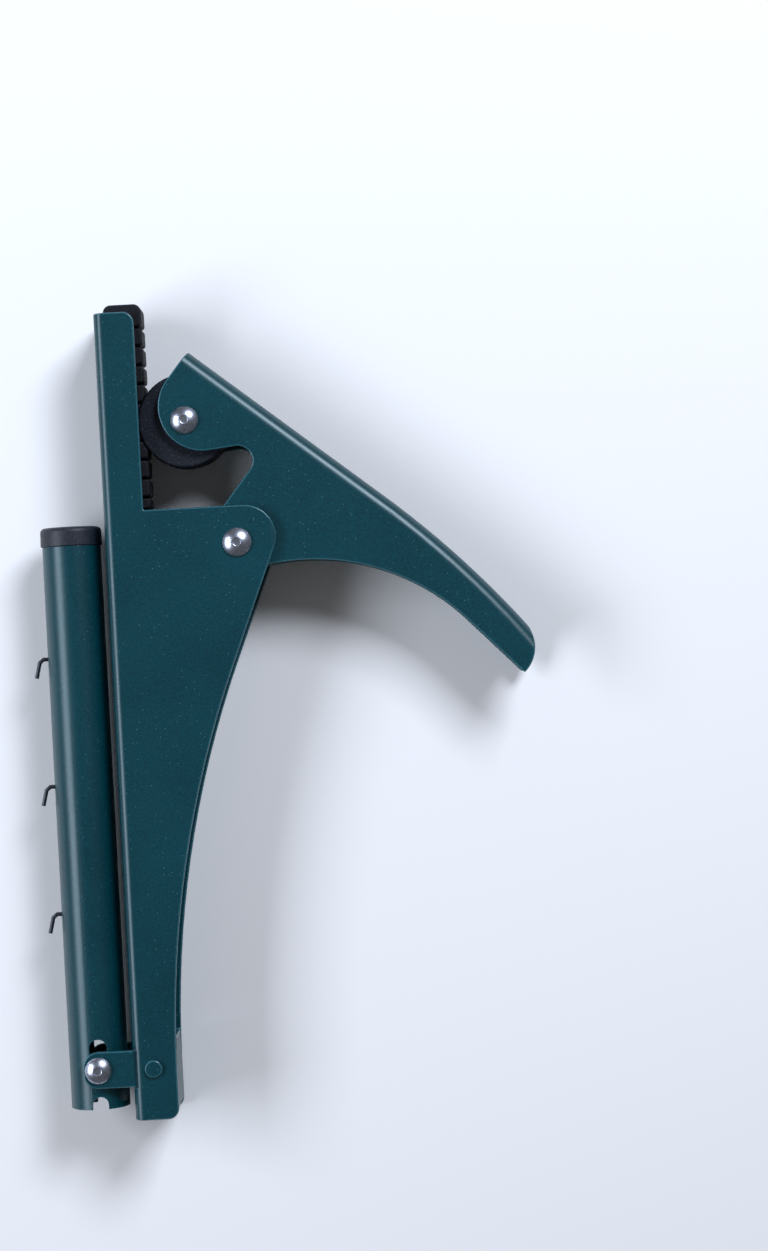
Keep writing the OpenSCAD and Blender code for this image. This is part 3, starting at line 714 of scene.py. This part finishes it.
cap_plastic = grained_plastic("grained_black_polypropylene", "#080C14", "#29303E", 0.55 * MM)
cap_low, cap_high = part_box("post_cap")
cap_middle = middle("post_cap")
CAP_R = (cap_high[0] - cap_low[0]) / 2
CAP_HIGH = 5.0 * MM
CAP_ROUND = 1.3 * MM
CAP_EDGE = 0.25 * MM
PLUG_R = 6.5 * MM
PLUG_LONG = 8.0 * MM
PLUG_LEAD = 0.5 * MM
GROOVE_R = 1.6 * MM
GROOVE_DEEP = 2.4 * MM
cap_outline = ([(PLUG_R - PLUG_LEAD, -PLUG_LONG), (PLUG_R, PLUG_LEAD - PLUG_LONG), (PLUG_R, 0),
                (CAP_R, 0)] + arc((CAP_R - CAP_ROUND, CAP_HIGH - CAP_ROUND), CAP_ROUND, 0, 90, 8))
cap_mesh = turned(cap_outline, 96)
cap_mesh.transform(Matrix.Translation((cap_middle.x, cap_high[1] - CAP_HIGH, cap_middle.z))
                   @ Matrix.Rotation(-math.pi / 2, 4, "X"))
groove_side = [(cap_high[1] + GROOVE_R, z) for z in (cap_middle.z - GROOVE_R, cap_middle.z + GROOVE_R)]
groove_ring = arc((cap_high[1] - GROOVE_DEEP, cap_middle.z), GROOVE_R, 90, 270, 24) + groove_side
groove_ends = [[(cap_middle.x + end, y, z) for y, z in groove_ring] for end in (-2 * CAP_R, 2 * CAP_R)]
groove = added("groove", closed_mesh(groove_ends, capped=True))
plain_cap = added("plain_cap", cap_mesh)
cut = plain_cap.modifiers.new("groove", "BOOLEAN")
cut.operation = "DIFFERENCE"
cut.solver = "EXACT"
cut.object = groove
applied(plain_cap)
cap = finished("post_cap_finished", plain_cap.data, cap_plastic, CAP_EDGE, [(cap_middle, (1, 0, 0))])
for helper in (groove, plain_cap):
    bpy.data.objects.remove(helper)
stands_for(cap, "post", "cap", "post_cap")


# ---- Washers, sleeve and bush ----
# Flat nylon washers on both rivets, a cut steel sleeve that holds the spring's coil round the pivot,
# and a steel bush that the wheel runs on.

def drawn_steel(name, colour, rough):
    """Drawn steel, cut and left bare: even metal with fine tool marks and dull patches of thin oil."""
    material, tree, shader = new_material(name)
    place = add_node(tree, "ShaderNodeTexCoord")
    marks = noise(tree, place, 0.25 * MM, Detail=2)
    bloom = noise(tree, place, 3 * MM, Detail=3)
    tree.links.new(spread(tree, bloom, rough - 0.08, rough + 0.1), shader.inputs["Roughness"])
    bumped(tree, shader, marks, 0.25, 0.01 * MM)
    shader.inputs["Base Color"].default_value = linear(colour)
    shader.inputs["Metallic"].default_value = 1.0
    return material


plain_steel = drawn_steel("drawn_steel", "#A9ADB1", 0.34)
nylon = grained_plastic("black_nylon", "#1E2023", "#2A2C30", 0.35 * MM)
WASHER_EDGE = 0.1 * MM
SLEEVE_EDGE = 0.15 * MM
BUSH_EDGE = 0.12 * MM
deburred("wheel_washers", "lever", nylon, WASHER_EDGE, "washer")
deburred("pivot_washers", "frame", nylon, WASHER_EDGE, "washer")
deburred("pivot_sleeve", "frame", plain_steel, SLEEVE_EDGE, "steel")
deburred("wheel_bush", "wheel", plain_steel, BUSH_EDGE, "steel")


# ---- Rivets and lock pin ----
# The lever's pivot, the wheel's axle and the post's pivot are bright zinc plated steel rivets with a
# domed head at both ends, and a small centre mark from the riveting. The lock pin at the tail is
# riveted into the bare body and painted with it.

def zinc_plate():
    """Bright zinc over turned steel: mirror-like with a soft haze and small dull patches."""
    material, tree, shader = new_material("bright_zinc_plate")
    place = add_node(tree, "ShaderNodeTexCoord")
    patches = noise(tree, place, 0.7 * MM, Detail=4, Roughness=0.65)
    tree.links.new(two_tone(tree, patches, 0.36, "#9CA4B4", 0.6, "#D2D8E6"), shader.inputs["Base Color"])
    tree.links.new(spread(tree, patches, 0.38, 0.22, 0.3, 0.7), shader.inputs["Roughness"])
    bumped(tree, shader, patches, 0.16, 0.03 * MM)
    shader.inputs["Metallic"].default_value = 1.0
    return material


def dome_ball(radius, rise):
    """The radius of the ball whose cap has this radius and rises so far."""
    return (radius ** 2 + rise ** 2) / (2 * rise)


def head_outline(radius, height, rim, mark_r):
    """A domed head's outline from its seat up: rim, rolled edge, dome and centre mark."""
    seat_edge, seat_rise, roll = 0.1 * MM, 0.12 * MM, 0.22 * MM
    mark_lip, lip_deep, mark_deep = 0.1 * MM, 0.05 * MM, 0.1 * MM
    ball = dome_ball(radius, height - rim)
    outline = [(radius - seat_edge, 0), (radius, seat_rise), (radius, rim - roll)]
    for t in (1 / 5, 2 / 5, 3 / 5, 4 / 5):
        outline.append((radius - roll * t ** 2, rim - roll + roll * (1 - (1 - t) ** 2)))
    slope_out = math.asin((radius - roll) / ball)
    slope_in = math.asin((mark_r + mark_lip) / ball)
    for k in range(17):
        lean = slope_out + (slope_in - slope_out) * k / 16
        outline.append((ball * math.sin(lean), height - ball + ball * math.cos(lean)))
    top = outline[-1][1]
    # the mark's lip, its foot and its slightly hollow floor
    return outline + [(mark_r, top - lip_deep), (mark_r * 0.82, top - mark_deep),
                      (mark_r * 0.4, top - mark_deep * 1.1)]


def crown(radius, height, rim, mark_r):
    """How far a domed head stands above its seat, at the rim of its centre mark."""
    ball = dome_ball(radius, height - rim)
    return height - ball + math.sqrt(ball ** 2 - mark_r ** 2)


rivet_tree, sizes = new_tree("riveted_both_ends", {
    "Half Length": "Float", "Shank Radius": "Float", "Finish": "Material"})
half_long = sizes.outputs["Half Length"]
first_end = add_node(rivet_tree, "ShaderNodeCombineXYZ", inputs={"Z": half_long})
end_step = add_node(rivet_tree, "ShaderNodeCombineXYZ", inputs={
    "Z": reckoned(rivet_tree, "MULTIPLY", half_long, -2.0)})
ends = add_node(rivet_tree, "GeometryNodeMeshLine", inputs={
    "Count": 2, "Start Location": first_end.outputs[0], "Offset": end_step.outputs[0]})
# the second head is the first one turned over
which = add_node(rivet_tree, "GeometryNodeInputIndex")
half_turn = add_node(rivet_tree, "ShaderNodeCombineXYZ", inputs={
    "X": reckoned(rivet_tree, "MULTIPLY", which.outputs[0], math.pi)})
heads = add_node(rivet_tree, "GeometryNodeInstanceOnPoints", inputs={
    "Points": ends.outputs[0], "Instance": sizes.outputs["Geometry"], "Rotation": half_turn.outputs[0]})
shank = add_node(rivet_tree, "GeometryNodeMeshCylinder", inputs={
    "Vertices": 48, "Radius": sizes.outputs["Shank Radius"],
    "Depth": reckoned(rivet_tree, "MULTIPLY", half_long, 2.0)})
both = add_node(rivet_tree, "GeometryNodeJoinGeometry")
for part in (shank.outputs["Mesh"], heads.outputs[0]):
    rivet_tree.links.new(part, both.inputs[0])
end_tree(rivet_tree, both.outputs[0], sizes.outputs["Finish"])

zinc = zinc_plate()
# node, its body, the joint whose axis it lies on, head radius, head height, shank radius
RIVETS = [
    ("pivot_rivet", "frame", "lever_hinge", 3.75 * MM, 2.0 * MM, 3.0 * MM),
    ("wheel_rivet", "lever", "wheel_spin", 3.6 * MM, 2.0 * MM, 2.5 * MM),
    ("post_rivet", "post_pivot", "post_swing", 3.43 * MM, 1.9 * MM, 2.25 * MM)]
HEAD_RIM = 0.5 * MM
MARK_R = 1.05 * MM
HEAD_FACETS = 64
for node, body, joint, head_r, head_high, shank_r in RIVETS:
    low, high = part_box(node)
    sizes_of_head = (head_r, head_high, HEAD_RIM, MARK_R)
    head = turned(head_outline(*sizes_of_head), HEAD_FACETS)
    rivet = made_by(rivet_tree, node + "_finished", head, {
        "Half Length": (high[2] - low[2]) / 2 - crown(*sizes_of_head),
        "Shank Radius": shank_r, "Finish": zinc}, joints[joint]["pos_m"])
    stands_for(rivet, body, "zinc", node)

# the lock pin: domed behind, peened flat in front, and painted together with the body
low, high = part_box("lock_pin")
PIN_HEAD = (3.9 * MM, 2.0 * MM, HEAD_RIM, MARK_R)
PIN_R = 1.8 * MM
PEEN_R = 2.3 * MM
PEEN_HIGH = 1.0 * MM
PEEN_EDGE = 0.4 * MM
seat = low[2] + crown(*PIN_HEAD)
pin_outline = ([(r, seat - z) for r, z in reversed(head_outline(*PIN_HEAD))]
               + [(PIN_R, seat), (PIN_R, high[2] - PEEN_HIGH), (PEEN_R, high[2] - PEEN_HIGH)]
               + arc((PEEN_R - PEEN_EDGE, high[2] - PEEN_EDGE), PEEN_EDGE, 0, 90, 5)
               + [(PEEN_R - PEEN_EDGE - KEEP_FLAT, high[2])])
pin_mesh = turned(pin_outline, HEAD_FACETS)
pin_at = middle("lock_pin")
pin_mesh.transform(Matrix.Translation((pin_at.x, pin_at.y, 0)))
pin_mesh.set_sharp_from_angle(angle=HARD_FROM)
for coat in (petrol, petrol_edge_highlight):
    pin_mesh.materials.append(coat)
# only the peened end's rolled edge takes the paler coat, a painted highlight
for face in pin_mesh.polygons:
    face.material_index = int(face.center.z > high[2] - PEEN_EDGE and 0.1 < face.normal.z < 0.99)
stands_for(added("lock_pin_finished", pin_mesh), "frame", "green", "lock_pin")


# ---- Net hooks and torsion spring ----
# Drawn steel wire. Three hooks are bent at a right angle and set in holes along the tube. The
# spring is coiled round the pivot's sleeve, one leg on the body's web and one under the lever's back.

wire_tree, sizes = new_tree("bent_wire", {
    "Wire Radius": "Float", "Bend Radius": "Float", "Pitch": "Float", "Count": "Int",
    "Finish": "Material"})
route = add_node(wire_tree, "GeometryNodeMeshToCurve", inputs={"Mesh": sizes.outputs["Geometry"]})
bent = add_node(wire_tree, "GeometryNodeFilletCurve", inputs={
    "Curve": route.outputs[0], "Radius": sizes.outputs["Bend Radius"], "Limit Radius": True})
section = add_node(wire_tree, "GeometryNodeCurvePrimitiveCircle", inputs={
    "Resolution": 16, "Radius": sizes.outputs["Wire Radius"]})
wire = add_node(wire_tree, "GeometryNodeCurveToMesh", inputs={
    "Curve": bent.outputs[0], "Profile Curve": section.outputs[0], "Fill Caps": True})
step_up = add_node(wire_tree, "ShaderNodeCombineXYZ", inputs={"Y": sizes.outputs["Pitch"]})
row = add_node(wire_tree, "GeometryNodeMeshLine", inputs={
    "Count": sizes.outputs["Count"], "Offset": step_up.outputs[0]})
set_in = add_node(wire_tree, "GeometryNodeInstanceOnPoints", inputs={
    "Points": row.outputs[0], "Instance": wire.outputs[0]})
end_tree(wire_tree, set_in.outputs[0], sizes.outputs["Finish"])


def smooth_wire(wire):
    """Shades a wire's sides round and leaves its cut ends flat."""
    for face in wire.data.polygons:
        face.use_smooth = len(face.vertices) == 4


hook_steel = drawn_steel("dark_drawn_wire", "#4C5056", 0.42)
hook_low, hook_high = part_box("net_hook_1")
next_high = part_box("net_hook_2")[1]
HOOK_WIRE_R = 0.55 * MM
HOOK_BEND_R = 1.1 * MM
HOOK_LEAN = math.radians(14)
bore_y = hook_high[1] - HOOK_WIRE_R
arm_x = hook_low[0] + HOOK_WIRE_R * math.cos(HOOK_LEAN)
arm_y = hook_low[1] + HOOK_WIRE_R * math.sin(HOOK_LEAN)
corner_x = arm_x + (bore_y - arm_y) * math.tan(HOOK_LEAN)
middle_z = (hook_low[2] + hook_high[2]) / 2
hook_line = [(hook_high[0], bore_y, middle_z), (corner_x, bore_y, middle_z), (arm_x, arm_y, middle_z)]
hooks = made_by(wire_tree, "net_hooks_finished", line_mesh(hook_line), {
    "Wire Radius": HOOK_WIRE_R, "Bend Radius": HOOK_BEND_R, "Pitch": next_high[1] - hook_high[1],
    "Count": 3, "Finish": hook_steel})
smooth_wire(hooks)
stands_for(hooks, "post", "wire", "net_hook_1", "net_hook_2", "net_hook_3")

SPRING_R = 6.2 * MM
SPRING_WIRE_R = 0.9 * MM
SPRING_PITCH = 2.3 * MM
SPRING_TURNS = 5
# where on the coil each leg leaves it
LEG_IN = math.radians(-39.8)
LEG_OUT = math.radians(-74.5)
LEG_IN_LONG = 57.28 * MM
LEG_OUT_LONG = 41 * MM
POINTS_A_TURN = 40
sweep = 2 * math.pi * SPRING_TURNS + LEG_OUT - LEG_IN
coil_half = sweep / (2 * math.pi) * SPRING_PITCH / 2
steps = round(sweep / (2 * math.pi) * POINTS_A_TURN)
coil = []
for i in range(steps + 1):
    turn = LEG_IN + sweep * i / steps
    rise = coil_half * (2 * i / steps - 1)
    coil.append(lever_pivot + Vector((SPRING_R * math.cos(turn), SPRING_R * math.sin(turn), rise)))
leg_in = coil[0] - LEG_IN_LONG * Vector((-math.sin(LEG_IN), math.cos(LEG_IN), 0))
leg_out = coil[-1] + LEG_OUT_LONG * Vector((-math.sin(LEG_OUT), math.cos(LEG_OUT), 0))
spring = made_by(wire_tree, "torsion_spring_finished", line_mesh([leg_in] + coil + [leg_out]), {
    "Wire Radius": SPRING_WIRE_R, "Bend Radius": 0.0, "Pitch": 0.0, "Count": 1, "Finish": plain_steel})
smooth_wire(spring)
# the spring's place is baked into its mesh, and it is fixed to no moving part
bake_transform(spring)
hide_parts("torsion_spring")
